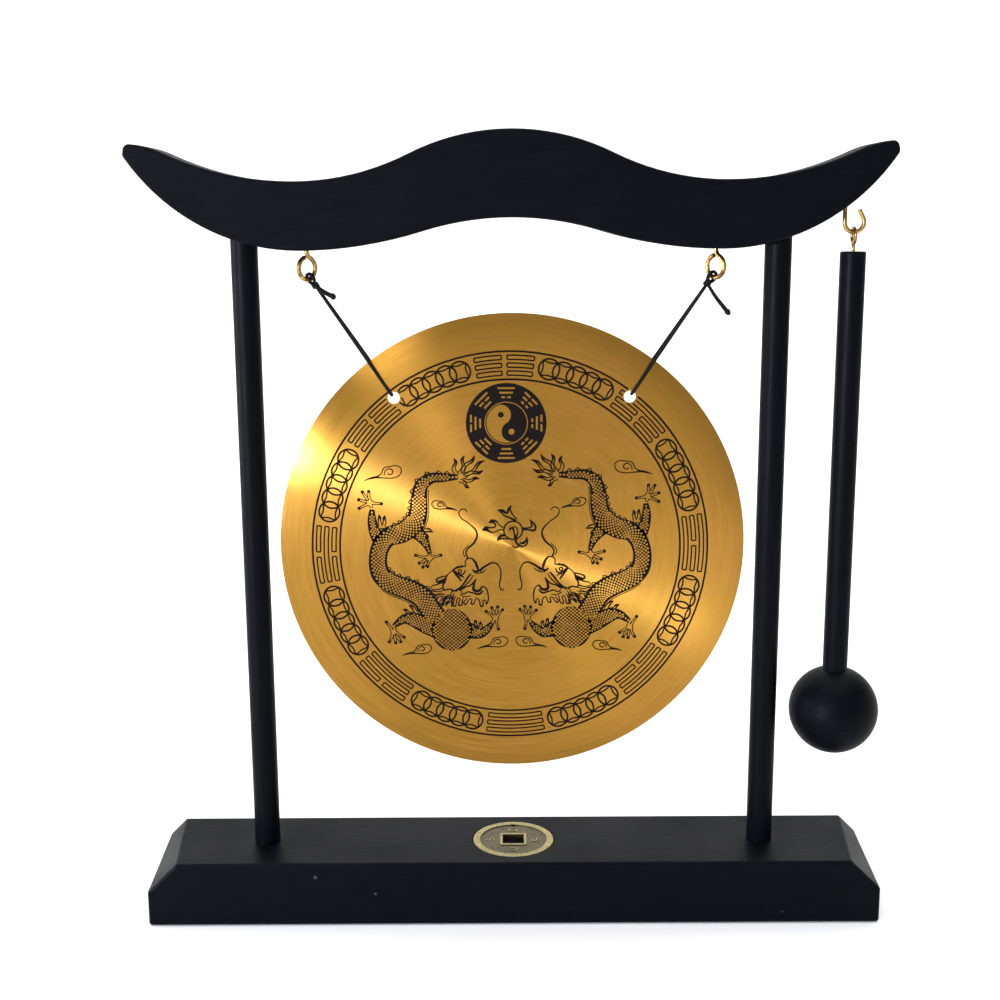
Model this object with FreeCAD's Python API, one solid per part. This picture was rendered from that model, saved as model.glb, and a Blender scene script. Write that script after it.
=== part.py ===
"""A small table gong: a brass disc hung on two cord loops in a black wooden stand, with a mallet.

Millimetres. +X is to the right, -Y is the front, +Z is up, and the origin is the middle of
the underside of the base. The stand's width and height follow from the gong it has to hold.
"""
import FreeCAD, Part
import math
import os

V = FreeCAD.Vector
UP = V(0, 0, 1)
FRONT_TO_BACK = V(0, 1, 0)

# Gong: a thin plate whose rim curves back.
GONG_DIAMETER = 150.0
GONG_THICKNESS = 1.0
GONG_RIM_WIDTH = 10.5           # the band at the edge that curves back
GONG_RIM_DEPTH = 1.3            # how far it curves back
GONG_PLANE_Y = -0.12            # middle of the flat plate, so that the weight hangs at y = 0
GONG_HOLE_DIAMETER = 3.8
GONG_HOLE_INSET = 13.7          # rim to hole centre
GONG_HOLE_SPACING = 74.8
GONG_FLOOR_GAP = 26.7           # base top to the lowest point of the gong
GONG_POST_GAP = 3.8             # gong edge to post, each side

# Base plinth.
BASE_LENGTH = 240.0
BASE_DEPTH = 37.0
BASE_HEIGHT = 21.5
BASE_BEVEL_FRONT = 9.9          # 45 degree bevel along the two short ends, at the front
BASE_BEVEL_BACK = 5.6           # the same bevel where it runs out at the back
BASE_EDGE_ROUND = 1.1

# Coin let into the top of the base.
COIN_DIAMETER = 27.0
COIN_THICKNESS = 1.8            # over the raised rims
COIN_RELIEF = 0.3
COIN_RIM_WIDTH = 2.2
COIN_SQUARE_HOLE = 7.2
COIN_HOLE_BORDER = 0.8
COIN_DRILLING = 1.5             # small round hole in the field, at the back
COIN_DRILLING_INSET = 2.6
COIN_GAP = 0.4                  # round the coin in its recess

# Posts, glued into blind sockets.
POST_DIAMETER = 8.4             # an 8 mm dowel under paint
POST_SOCKET_IN_BASE = 13.0
POST_SOCKET_IN_BEAM = 8.0
POST_FIT = 0.05                 # glue gap, radial
POST_X = GONG_DIAMETER / 2 + GONG_POST_GAP + POST_DIAMETER / 2

# Mallet.
HANDLE_DIAMETER = 8.0
HANDLE_LENGTH = 146.0
HANDLE_TOP_ROUND = 0.6
HEAD_DIAMETER = 29.0
HEAD_SOCKET = 11.0              # how deep the handle goes into the ball
HEAD_FIT = 0.05                 # glue gap, radial
HEAD_POST_GAP = 4.6
MALLET_EYE_OUTER = 5.8
MALLET_EYE_WIRE = 1.05
MALLET_EYE_NECK = 1.9           # ring to handle top
MALLET_EYE_SHANK = 9.0          # the length screwed into the handle

# Screw eyes that carry the gong.
EYE_X = 63.5
EYE_OUTER = 8.3
EYE_WIRE = 1.45
EYE_DROP = 5.5                  # beam underside to ring centre
EYE_TURN = 50.0                 # the ring's plane against the front plane, degrees
EYE_CONTACT = 23.5              # where the cord sits on the ring, degrees from its lowest point
EYE_SHANK = 9.0                 # the length screwed into the beam
SCREW_FIT = 0.05                # pilot hole round a shank, radial
RING_START = 65.0               # where a ring leaves its shank, degrees above level
RING_END = 104.0                # where its cut end stops, degrees above level

# Hook that carries the mallet.
HOOK_OUTER = 7.4
HOOK_WIRE = 1.4
HOOK_DROP = 5.6                 # beam underside at the shank to the centre of the hook
HOOK_SHANK = 9.0
HOOK_LIP_ANGLE = 26.6           # where the open side straightens, degrees above level
HOOK_LIP = 2.9
HOOK_RUNNING_GAP = 0.1          # eye on hook
HOOK_X = POST_X + POST_DIAMETER / 2 + HEAD_POST_GAP + HEAD_DIAMETER / 2

# Cords.
CORD_DIAMETER = 0.9
CORD_DROP = 37.5                # contact on the ring down to the gong's hole centre
CORD_WRAP_GAP = 0.28            # cord round the ring's wire
CORD_EDGE_GAP = 0.5             # cord round the edge of the gong's hole
KNOT_RADIUS = 1.35
KNOT_DROP = 2.55                # ring wire centre to knot centre
STRAND_SPREAD = 0.6             # strands in front of and behind the knot's middle
BACK_STRAND_POINT = (11.0, 5.65)  # along the strand from the hole's edge, and behind it
TAIL_END_RADIUS = 1.05
TAIL_END = {"left": V(5.9, -4.4, -3.3), "right": V(6.4, -2.0, -9.0)}  # from the knot centre

# Crossbeam: S-shaped edges of tangent arcs, mirrored about the middle.
BEAM_BEYOND_HOOK = 11.0
BEAM_THICKNESS = 17.5
BEAM_EDGE_ROUND = 0.9
TOP_CREST_RISE = 36.0           # rises are above the lowest point of the underside
TOP_VALLEY_X = 66.0
TOP_VALLEY_RISE = 20.8
TOP_TIP_RISE = 32.0
TOP_INNER_SHARE = 0.53          # the valley's share of the bend on its inner side
TOP_OUTER_SHARE = 0.78          # and on its outer side
UNDER_ARCH_RISE = 9.7
UNDER_LOW_X = 64.7
UNDER_LOW_SHARE = 0.57
BEAM_END_FACE = 3.4             # height of the blunt end
BEAM_END_RAKE = 0.7             # how far that face leans in at the top
BEAM_END_ROUND = 1.9

# Places that follow.
GONG_RADIUS = GONG_DIAMETER / 2
GONG_Z = BASE_HEIGHT + GONG_FLOOR_GAP + GONG_RADIUS
HOLE_X = GONG_HOLE_SPACING / 2
HOLE_Z = GONG_Z + math.sqrt((GONG_RADIUS - GONG_HOLE_INSET) ** 2 - HOLE_X ** 2)
EYE_RADIUS = (EYE_OUTER - EYE_WIRE) / 2
CONTACT_Z = HOLE_Z + CORD_DROP
EYE_Z = CONTACT_Z + EYE_RADIUS * math.cos(math.radians(EYE_CONTACT))
BEAM_Z = EYE_Z + EYE_DROP       # the lowest point of the beam's underside
BEAM_HALF = HOOK_X + BEAM_BEYOND_HOOK
HOOK_RADIUS = (HOOK_OUTER - HOOK_WIRE) / 2
SIDES = (("left", -1), ("right", 1))


def cylinder(radius, base, length, direction=UP):
    return Part.makeCylinder(radius, length, base, direction)


def rod(path, diameter):
    """A round rod along edges that join tangentially, with square-cut ends."""
    wire = Part.Wire(path)
    first = path[0]
    start = first.valueAt(first.FirstParameter)
    heading = first.tangentAt(first.FirstParameter)
    ring = Part.Wire(Part.makeCircle(diameter / 2, start, heading))
    return wire.makePipeShell([ring], True, False)


def line(a, b):
    return Part.LineSegment(a, b).toShape()


def arc(a, middle, b):
    return Part.Arc(a, middle, b).toShape()


# Beam outline ------------------------------------------------------------------------------

def s_bend(x, low, high, low_share):
    """Height at x on two tangent arcs that join a level low point to a level high point."""
    run = abs(high[0] - low[0])
    rise = high[1] - low[1]
    turn = 2 * math.atan(rise / run)
    both_radii = run / math.sin(turn)
    low_radius = low_share * both_radii
    high_radius = both_radii - low_radius
    from_low = abs(x - low[0])
    if from_low <= low_radius * math.sin(turn):
        return low[1] + low_radius - math.sqrt(low_radius ** 2 - from_low ** 2)
    from_high = run - from_low
    return high[1] - high_radius + math.sqrt(high_radius ** 2 - from_high ** 2)


def bend_change(low, high, low_share):
    """The x where the two arcs of an s_bend meet."""
    return low[0] + low_share * (high[0] - low[0])


CREST = (0.0, TOP_CREST_RISE)
VALLEY = (TOP_VALLEY_X, TOP_VALLEY_RISE)
TIP = (BEAM_HALF - BEAM_END_RAKE, TOP_TIP_RISE)
ARCH = (0.0, UNDER_ARCH_RISE)
LOW = (UNDER_LOW_X, 0.0)
END_LOW = (BEAM_HALF, TOP_TIP_RISE - BEAM_END_FACE)


def top_rise(x):
    if x <= TOP_VALLEY_X:
        return s_bend(x, VALLEY, CREST, TOP_INNER_SHARE)
    return s_bend(x, VALLEY, TIP, TOP_OUTER_SHARE)


def under_rise(x):
    if x <= UNDER_LOW_X:
        return s_bend(x, LOW, ARCH, UNDER_LOW_SHARE)
    reach = END_LOW[0] - LOW[0]
    radius = (reach ** 2 + END_LOW[1] ** 2) / (2 * END_LOW[1])
    return radius - math.sqrt(radius ** 2 - (x - LOW[0]) ** 2)


def underside(x):
    return BEAM_Z + under_rise(abs(x))


def edge_arcs(rise, stops, side):
    """Arcs through a beam edge between the given distances from the middle, on one side."""
    def point(x):
        return V(side * x, -BEAM_THICKNESS / 2, BEAM_Z + rise(x))
    return [arc(point(a), point((a + b) / 2), point(b)) for a, b in zip(stops, stops[1:])]


def make_crossbeam():
    top_stops = [bend_change(VALLEY, CREST, TOP_INNER_SHARE),
                 bend_change(VALLEY, TIP, TOP_OUTER_SHARE), TIP[0]]
    under_stops = [bend_change(LOW, ARCH, UNDER_LOW_SHARE), UNDER_LOW_X, BEAM_HALF]
    edges = []
    for name, side in SIDES:
        edges += edge_arcs(top_rise, [top_stops[0], TOP_VALLEY_X], side)
        edges += edge_arcs(top_rise, [TOP_VALLEY_X, top_stops[1], top_stops[2]], side)
        edges += edge_arcs(under_rise, under_stops, side)
        edges.append(line(V(side * TIP[0], -BEAM_THICKNESS / 2, BEAM_Z + TIP[1]),
                          V(side * BEAM_HALF, -BEAM_THICKNESS / 2, BEAM_Z + END_LOW[1])))
    for rise, stop in ((top_rise, top_stops[0]), (under_rise, under_stops[0])):
        ends = [V(side * stop, -BEAM_THICKNESS / 2, BEAM_Z + rise(stop)) for _, side in SIDES]
        edges.append(arc(ends[0], V(0, -BEAM_THICKNESS / 2, BEAM_Z + rise(0)), ends[1]))
    outline = Part.Wire(Part.__sortEdges__(edges))
    beam = Part.Face(outline).extrude(V(0, BEAM_THICKNESS, 0))
    ends = [e for e in beam.Edges if abs(abs(e.CenterOfMass.x) - BEAM_HALF) < 2 * BEAM_END_RAKE
            and abs(e.CenterOfMass.y) < 0.1]
    beam = beam.makeFillet(BEAM_END_ROUND, ends)
    rims = [e for e in beam.Edges if abs(abs(e.CenterOfMass.y) - BEAM_THICKNESS / 2) < 0.01]
    beam = beam.makeFillet(BEAM_EDGE_ROUND, rims)
    for name, side in SIDES:
        socket = cylinder(POST_DIAMETER / 2 + POST_FIT, V(side * POST_X, 0, underside(POST_X) - 10),
                          10 + POST_SOCKET_IN_BEAM)
        pilot = cylinder(EYE_WIRE / 2 + SCREW_FIT, V(side * EYE_X, -EYE_SHIFT_Y, BEAM_Z - 5),
                         5 + EYE_SHANK)
        beam = beam.cut(socket).cut(pilot)
    pilot_x = HOOK_X - HOOK_RADIUS
    hook_pilot = cylinder(HOOK_WIRE / 2 + SCREW_FIT, V(pilot_x, 0, underside(pilot_x) - 5),
                          5 + HOOK_SHANK)
    return beam.cut(hook_pilot)


# Base, coin and posts ----------------------------------------------------------------------

def end_wedge(side):
    """What the bevel takes off one end of the base, a little larger than the base itself."""
    end, spare = side * BASE_LENGTH / 2, 1.0
    taper = (BASE_BEVEL_BACK - BASE_BEVEL_FRONT) / BASE_DEPTH
    outlines = []
    for y in (-BASE_DEPTH / 2 - spare, BASE_DEPTH / 2 + spare):
        bevel = BASE_BEVEL_FRONT + taper * (y + BASE_DEPTH / 2)
        outside = end + side * spare
        corners = [V(outside, y, BASE_HEIGHT - bevel - spare), V(outside, y, BASE_HEIGHT + spare),
                   V(end - side * (bevel + spare), y, BASE_HEIGHT + spare)]
        outlines.append(Part.makePolygon(corners + corners[:1]))
    return Part.makeLoft(outlines, True, True)


def make_base():
    block = Part.makeBox(BASE_LENGTH, BASE_DEPTH, BASE_HEIGHT,
                         V(-BASE_LENGTH / 2, -BASE_DEPTH / 2, 0))
    for name, side in SIDES:
        block = block.cut(end_wedge(side))
    block = block.makeFillet(BASE_EDGE_ROUND, block.Edges)
    for name, side in SIDES:
        floor = V(side * POST_X, 0, BASE_HEIGHT - POST_SOCKET_IN_BASE)
        block = block.cut(cylinder(POST_DIAMETER / 2 + POST_FIT, floor, POST_SOCKET_IN_BASE + 1))
    recess = cylinder(COIN_DIAMETER / 2 + COIN_GAP, V(0, 0, BASE_HEIGHT - COIN_THICKNESS),
                      COIN_THICKNESS + 1)
    return block.cut(recess)


def square_prism(side, z, height):
    return Part.makeBox(side, side, height, V(-side / 2, -side / 2, z))


def make_coin():
    bottom = BASE_HEIGHT - COIN_THICKNESS
    radius = COIN_DIAMETER / 2
    coin = cylinder(radius, V(0, 0, bottom), COIN_THICKNESS)
    field_radius = radius - COIN_RIM_WIDTH
    for z in (bottom, BASE_HEIGHT - COIN_RELIEF):
        field = cylinder(field_radius, V(0, 0, z), COIN_RELIEF)
        border = square_prism(COIN_SQUARE_HOLE + 2 * COIN_HOLE_BORDER, z, COIN_RELIEF)
        coin = coin.cut(field.cut(border))
    coin = coin.cut(square_prism(COIN_SQUARE_HOLE, bottom - 1, COIN_THICKNESS + 2))
    drilling_y = radius - COIN_DRILLING_INSET
    return coin.cut(cylinder(COIN_DRILLING / 2, V(0, drilling_y, bottom - 1), COIN_THICKNESS + 2))


def make_post(side):
    foot = BASE_HEIGHT - POST_SOCKET_IN_BASE
    top = underside(POST_X) + POST_SOCKET_IN_BEAM
    return cylinder(POST_DIAMETER / 2, V(side * POST_X, 0, foot), top - foot)


# Screw eyes and hook -----------------------------------------------------------------------

def ring_with_shank(ring_radius, wire, shank_length, neck):
    """A screw eye in the XZ plane with its ring centre at the origin and its shank up +Z."""
    start, end = math.radians(RING_START), math.radians(RING_END)

    def on_ring(angle):
        return V(ring_radius * math.cos(angle), 0, ring_radius * math.sin(angle))

    bend = ring_radius * math.cos(start) / (1 - math.cos(start))
    bend_top = ring_radius * math.sin(start) + bend * math.sin(start)
    half_turn = start / 2
    middle = V(bend * (1 - math.cos(half_turn)), 0, bend_top - bend * math.sin(half_turn))
    path = [line(V(0, 0, neck + shank_length), V(0, 0, bend_top)),
            arc(V(0, 0, bend_top), middle, on_ring(start)),
            arc(on_ring(start), on_ring(math.radians(-45)), on_ring(math.radians(-135))),
            arc(on_ring(math.radians(-135)), on_ring(math.pi), on_ring(end))]
    return rod(path, wire)


EYE_SIDE = EYE_RADIUS * math.sin(math.radians(EYE_CONTACT))
EYE_SHIFT_X = EYE_SIDE * math.cos(math.radians(EYE_TURN))   # ring centre to cord contact
EYE_SHIFT_Y = EYE_SIDE * math.sin(math.radians(EYE_TURN))


def contact_point(side):
    """Where a cord sits on its ring, at the middle of the ring's wire."""
    return V(side * (EYE_X - EYE_SHIFT_X), 0, CONTACT_Z)


def make_eye_screw(side):
    eye = ring_with_shank(EYE_RADIUS, EYE_WIRE, EYE_SHANK, EYE_DROP)
    turn = -EYE_TURN * side         # the shank meets the ring's right side in both
    eye.rotate(V(0, 0, 0), UP, turn)
    eye.translate(V(side * EYE_X, -EYE_SHIFT_Y, EYE_Z))
    return eye


def hook_centre():
    return V(HOOK_X, 0, underside(HOOK_X - HOOK_RADIUS) - HOOK_DROP)


def make_cup_hook():
    r = HOOK_RADIUS
    centre = hook_centre()

    def on_hook(degrees):
        angle = math.radians(degrees)
        return centre + V(r * math.cos(angle), 0, r * math.sin(angle))

    lip = math.radians(HOOK_LIP_ANGLE)
    tip = on_hook(HOOK_LIP_ANGLE) + V(-math.sin(lip), 0, math.cos(lip)) * HOOK_LIP
    path = [line(on_hook(180) + UP * (HOOK_DROP + HOOK_SHANK), on_hook(180)),
            arc(on_hook(180), on_hook(225), on_hook(270)),
            arc(on_hook(270), on_hook(325), on_hook(HOOK_LIP_ANGLE)),
            line(on_hook(HOOK_LIP_ANGLE), tip)]
    return rod(path, HOOK_WIRE)


# Gong --------------------------------------------------------------------------------------

def make_gong():
    flat_radius = GONG_RADIUS - GONG_RIM_WIDTH
    bend = (GONG_RIM_WIDTH ** 2 + GONG_RIM_DEPTH ** 2) / (2 * GONG_RIM_DEPTH)
    sweep = math.asin(GONG_RIM_WIDTH / bend)
    half = GONG_THICKNESS / 2

    def on_rim(radius, angle):
        return V(flat_radius + radius * math.sin(angle), bend - radius * math.cos(angle), 0)

    outer, inner = bend + half, bend - half
    front = [line(V(0, -half, 0), V(flat_radius, -half, 0)),
             arc(on_rim(outer, 0), on_rim(outer, sweep / 2), on_rim(outer, sweep))]
    edge = line(on_rim(outer, sweep), on_rim(inner, sweep))
    back = [arc(on_rim(inner, sweep), on_rim(inner, sweep / 2), on_rim(inner, 0)),
            line(V(flat_radius, half, 0), V(0, half, 0)),
            line(V(0, half, 0), V(0, -half, 0))]
    profile = Part.Face(Part.Wire(front + [edge] + back))
    gong = profile.revolve(V(0, 0, 0), FRONT_TO_BACK, 360)
    gong.translate(V(0, GONG_PLANE_Y, GONG_Z))
    for name, side in SIDES:
        hole = cylinder(GONG_HOLE_DIAMETER / 2, V(side * HOLE_X, -20, HOLE_Z), 40, FRONT_TO_BACK)
        gong = gong.cut(hole)
    return gong


# Cords -------------------------------------------------------------------------------------

def strand_frame(side):
    """The middle of the metal at the hole's edge, and the direction from it to the ring."""
    hole = V(side * HOLE_X, 0, HOLE_Z)
    along = (contact_point(side) - hole).normalize()
    edge = hole + along * (GONG_HOLE_DIAMETER / 2 + GONG_THICKNESS / 2)
    return V(edge.x, GONG_PLANE_Y, edge.z), along


def cord_route(side):
    """The corners of one cord loop: knot, down in front, through the hole, up behind, knot."""
    edge, along = strand_frame(side)
    knot = knot_centre(side)
    off_edge = GONG_THICKNESS / 2 + CORD_EDGE_GAP + CORD_DIAMETER / 2
    reach, behind = BACK_STRAND_POINT
    return [knot - FRONT_TO_BACK * STRAND_SPREAD,
            edge - along * off_edge - FRONT_TO_BACK * off_edge,
            edge - along * off_edge + FRONT_TO_BACK * off_edge,
            edge + along * reach + FRONT_TO_BACK * behind,
            knot + FRONT_TO_BACK * STRAND_SPREAD]


def knot_centre(side):
    edge, along = strand_frame(side)
    return contact_point(side) - along * KNOT_DROP


def rounded_path(points, name):
    """Straight runs joined by the largest tangent arcs that the runs leave room for."""
    edges, start, radii = [], points[0], []
    for before, corner, after in zip(points, points[1:], points[2:]):
        back, ahead = before - corner, after - corner
        half_turn = (math.pi - back.getAngle(ahead)) / 2
        cut = 0.45 * min(back.Length, ahead.Length)
        radii.append(cut / math.tan(half_turn))
        a, b = corner + back.normalize() * cut, corner + ahead.normalize() * cut
        bisector = ((a + b) * 0.5 - corner).normalize()
        middle = corner + bisector * (radii[-1] / math.cos(half_turn) - radii[-1])
        edges += [line(start, a), arc(a, middle, b)]
        start = b
    edges.append(line(start, points[-1]))
    print(name, "arc radii", ", ".join("%.2f" % r for r in radii))
    return edges


def make_cord(side, name, knot):
    path = rounded_path(cord_route(side), name)
    tube = rod(path, CORD_DIAMETER)
    length = sum(edge.Length for edge in path)
    section = math.pi * CORD_DIAMETER ** 2 / 4
    print(name, "length %.1f, volume over section x length %.4f"
          % (length, tube.Volume / (section * length)))
    cord = tube.cut(knot)
    return max(cord.Solids, key=lambda solid: solid.Volume)


def make_knot(side, name):
    """One turn of cord round the ring's wire, the knot under it and its two melted tails."""
    contact, centre = contact_point(side), knot_centre(side)
    turn, lean = math.radians(EYE_TURN), math.radians(EYE_CONTACT)
    wire_heading = V(-side * math.cos(lean) * math.cos(turn), math.cos(lean) * math.sin(turn),
                     math.sin(lean))
    wrap_radius = EYE_WIRE / 2 + CORD_WRAP_GAP + CORD_DIAMETER / 2
    wrap = Part.makeTorus(wrap_radius, CORD_DIAMETER / 2, contact, wire_heading)
    ball = Part.makeSphere(KNOT_RADIUS, centre)
    end = centre + TAIL_END[name]
    heading = (end - centre).normalize()
    beside = heading.cross(UP).normalize() * (0.45 * CORD_DIAMETER)
    knot = wrap.fuse(ball).fuse(Part.makeSphere(TAIL_END_RADIUS, end))
    for offset in (beside, beside * -1):
        knot = knot.fuse(cylinder(CORD_DIAMETER / 2, centre + offset, (end - centre).Length,
                                  heading))
    return knot


# Mallet ------------------------------------------------------------------------------------

MALLET_EYE_RADIUS = (MALLET_EYE_OUTER - MALLET_EYE_WIRE) / 2


def mallet_pivot():
    """The middle of the hook's wire at its lowest point."""
    return hook_centre() - UP * HOOK_RADIUS


def mallet_eye_centre():
    inner = MALLET_EYE_RADIUS - MALLET_EYE_WIRE / 2
    return mallet_pivot() - UP * (inner - HOOK_WIRE / 2 - HOOK_RUNNING_GAP)


def handle_top():
    return mallet_eye_centre() - UP * (MALLET_EYE_OUTER / 2 + MALLET_EYE_NECK)


def handle_foot():
    return handle_top() - UP * HANDLE_LENGTH


def make_mallet_eye():
    neck = MALLET_EYE_OUTER / 2 + MALLET_EYE_NECK
    eye = ring_with_shank(MALLET_EYE_RADIUS, MALLET_EYE_WIRE, MALLET_EYE_SHANK, neck)
    eye.rotate(V(0, 0, 0), V(1, 0, 0), 180)
    eye.rotate(V(0, 0, 0), UP, 90)
    eye.translate(mallet_eye_centre())
    return eye


def make_handle():
    handle = cylinder(HANDLE_DIAMETER / 2, handle_foot(), HANDLE_LENGTH)
    top_rim = [e for e in handle.Edges if e.BoundBox.ZMin > handle_top().z - 0.01]
    handle = handle.makeFillet(HANDLE_TOP_ROUND, top_rim)
    pilot = cylinder(MALLET_EYE_WIRE / 2 + SCREW_FIT, handle_top() - UP * MALLET_EYE_SHANK,
                     MALLET_EYE_SHANK + 1)
    return handle.cut(pilot)


def make_head():
    centre = handle_foot() - UP * (HEAD_DIAMETER / 2 - HEAD_SOCKET)
    ball = Part.makeSphere(HEAD_DIAMETER / 2, centre)
    return ball.cut(cylinder(HANDLE_DIAMETER / 2 + HEAD_FIT, handle_foot(), HEAD_DIAMETER))


def build_parts():
    parts = {"base_plinth": make_base(), "inset_coin": make_coin(), "crossbeam": make_crossbeam(),
             "cup_hook": make_cup_hook(), "gong_disc": make_gong(),
             "mallet_eye_screw": make_mallet_eye(), "mallet_handle": make_handle(),
             "mallet_head": make_head()}
    for name, side in SIDES:
        parts[name + "_post"] = make_post(side)
        parts[name + "_eye_screw"] = make_eye_screw(side)
        knot = make_knot(side, name)
        parts[name + "_cord_knot"] = knot
        parts[name + "_cord"] = make_cord(side, name + "_cord", knot)
    return parts


def report_joint_axes():
    for name, point in (("gong_swing", V(0, 0, CONTACT_Z)), ("gong_rock", strand_frame(1)[0]),
                        ("mallet_swing", mallet_pivot())):
        print("%s axis X through y %.3f z %.3f (x %.3f)" % (name, point.y, point.z, point.x))


os.makedirs("parts", exist_ok=True)
for node, shape in build_parts().items():
    print(node, shape.isValid(), len(shape.Solids), "%.2f mm3" % shape.Volume)
    shape.exportStep("parts/%s.step" % node)
report_joint_axes()
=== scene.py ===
import bmesh
import bpy
import math
import random
from mathutils import Matrix, Vector


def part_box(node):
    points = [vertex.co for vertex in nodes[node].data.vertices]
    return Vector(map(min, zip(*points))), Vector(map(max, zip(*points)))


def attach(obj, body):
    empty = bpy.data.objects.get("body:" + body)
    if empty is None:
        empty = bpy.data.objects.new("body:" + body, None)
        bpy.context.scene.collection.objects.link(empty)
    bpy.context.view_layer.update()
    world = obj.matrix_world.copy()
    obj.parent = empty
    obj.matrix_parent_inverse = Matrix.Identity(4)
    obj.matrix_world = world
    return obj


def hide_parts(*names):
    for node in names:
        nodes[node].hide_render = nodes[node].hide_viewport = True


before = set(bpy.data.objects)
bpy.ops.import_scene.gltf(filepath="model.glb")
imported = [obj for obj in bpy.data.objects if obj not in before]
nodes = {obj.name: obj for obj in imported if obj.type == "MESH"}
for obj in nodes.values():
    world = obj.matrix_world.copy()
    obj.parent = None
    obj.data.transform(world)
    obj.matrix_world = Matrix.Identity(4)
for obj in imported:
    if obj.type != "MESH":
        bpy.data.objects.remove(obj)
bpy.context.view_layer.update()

MM = 0.001
scene = bpy.context.scene

# Camera, room and light --------------------------------------------------------------------
# A pale floor that rises into a low wall all round, soft light from above, behind and the left,
# and a narrow strip light on the left that draws the bright fan across the brushed disc.

camera_data = bpy.data.cameras.new("camera")
camera_data.lens = 50.3
camera_data.sensor_width = 36.0
camera_data.clip_end = 20
camera = bpy.data.objects.new("camera", camera_data)
scene.collection.objects.link(camera)
camera.matrix_world = (Matrix.Translation((-0.0039, -0.4410, 0.2274))
                       @ Matrix.Rotation(math.radians(90 - 11.40), 4, "X")
                       @ Matrix.Rotation(math.radians(-0.30), 4, "Z"))
scene.camera = camera
scene.view_settings.view_transform = "Standard"

world = bpy.data.worlds.new("studio")
world.use_nodes = True
world.node_tree.nodes["Background"].inputs["Color"].default_value = (1.0, 1.0, 1.0, 1)
world.node_tree.nodes["Background"].inputs["Strength"].default_value = 0.50
scene.world = world


def soft_light(name, place, target, width, height, power, tint=(1, 1, 1)):
    data = bpy.data.lights.new(name, "AREA")
    data.shape = "RECTANGLE"
    data.size, data.size_y = width, height
    data.energy = power
    data.color = tint
    light = bpy.data.objects.new(name, data)
    scene.collection.objects.link(light)
    light.location = place
    light.rotation_euler = (Vector(target) - Vector(place)).to_track_quat("-Z", "Y").to_euler()


soft_light("overhead", (0.0, 0.0, 1.4), (0, 0, 0.1), 1.5, 1.2, 20)
soft_light("back_wash", (0.0, 2.3, 1.7), (0, 2.6, 0), 4.0, 2.4, 75)
soft_light("strip_left", (-0.95, -1.10, 0.215), (0, 0, 0.13), 0.30, 0.10, 19, (0.95, 1.0, 1.3))
soft_light("upper_left", (-0.51, -1.34, 0.60), (0, 0, 0.13), 0.25, 0.25, 3)
soft_light("far_left", (-1.2, 0.0, 0.2), (0, 0, 0.13), 0.35, 0.4, 7)


def add_node(tree, kind, **settings):
    """A shader node with its properties or input values set by name."""
    node = tree.nodes.new(kind)
    for name, value in settings.items():
        if hasattr(node, name):
            setattr(node, name, value)
        else:
            node.inputs[name.replace("_", " ")].default_value = value
    return node


def new_finish(name):
    """A material and its tree, shader and object coordinates."""
    finish = bpy.data.materials.new(name)
    finish.use_nodes = True
    tree = finish.node_tree
    place = add_node(tree, "ShaderNodeTexCoord").outputs["Object"]
    return finish, tree, tree.nodes["Principled BSDF"], place


def stretched(tree, place, scale):
    mapping = add_node(tree, "ShaderNodeMapping")
    mapping.inputs["Scale"].default_value = scale
    tree.links.new(place, mapping.inputs["Vector"])
    return mapping.outputs["Vector"]


def noise(tree, place, scale, detail=4.0, roughness=0.6):
    node = add_node(tree, "ShaderNodeTexNoise", Scale=scale, Detail=detail, Roughness=roughness)
    tree.links.new(place, node.inputs["Vector"])
    return node.outputs["Fac"]


def ramp(tree, value, low, high, from_value=0.0, to_value=1.0):
    """Maps value from low..high onto from_value..to_value, clamped."""
    node = add_node(tree, "ShaderNodeMapRange")
    for slot_name, number in (("From Min", low), ("From Max", high),
                              ("To Min", from_value), ("To Max", to_value)):
        node.inputs[slot_name].default_value = number
    tree.links.new(value, node.inputs["Value"])
    return node.outputs["Result"]


def combine(tree, operation, a, b):
    node = add_node(tree, "ShaderNodeMath", operation=operation)
    for socket, value in zip(node.inputs, (a, b)):
        if isinstance(value, (int, float)):
            socket.default_value = value
        else:
            tree.links.new(value, socket)
    return node.outputs["Value"]


def blend_colours(tree, factor, first, second):
    node = add_node(tree, "ShaderNodeMix", data_type="RGBA")
    for socket, value in ((node.inputs["Factor"], factor), (node.inputs[6], first),
                          (node.inputs[7], second)):
        if isinstance(value, tuple):
            socket.default_value = (*value, 1)
        else:
            tree.links.new(value, socket)
    return node.outputs[2]


def bumped(tree, shader, height, strength, distance):
    node = add_node(tree, "ShaderNodeBump", Strength=strength, Distance=distance)
    tree.links.new(height, node.inputs["Height"])
    tree.links.new(node.outputs["Normal"], shader.inputs["Normal"])


def new_piece(name, mesh_or_curve, finish=None):
    piece = bpy.data.objects.new(name, mesh_or_curve)
    scene.collection.objects.link(piece)
    if finish:
        piece.data.materials.append(finish)
    return piece


def make_floor():
    """A flat disc of floor that curves up into a low wall far from the gong."""
    bm = bmesh.new()
    corners = [(0, 0), (3.2, 0), (3.7, 0.07), (4.1, 0.3), (4.3, 0.7), (4.35, 1.5)]
    verts = [bm.verts.new((x, 0, z)) for x, z in corners]
    edges = [bm.edges.new(pair) for pair in zip(verts, verts[1:])]
    bmesh.ops.spin(bm, geom=verts + edges, cent=(0, 0, 0), axis=(0, 0, 1), dvec=(0, 0, 0),
                   angle=math.tau, steps=96, use_merge=True)
    bmesh.ops.remove_doubles(bm, verts=bm.verts, dist=1e-5)
    bmesh.ops.recalc_face_normals(bm, faces=bm.faces)
    mesh = bpy.data.meshes.new("floor")
    bm.to_mesh(mesh)
    bm.free()
    mesh.shade_smooth()
    return mesh


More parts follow.
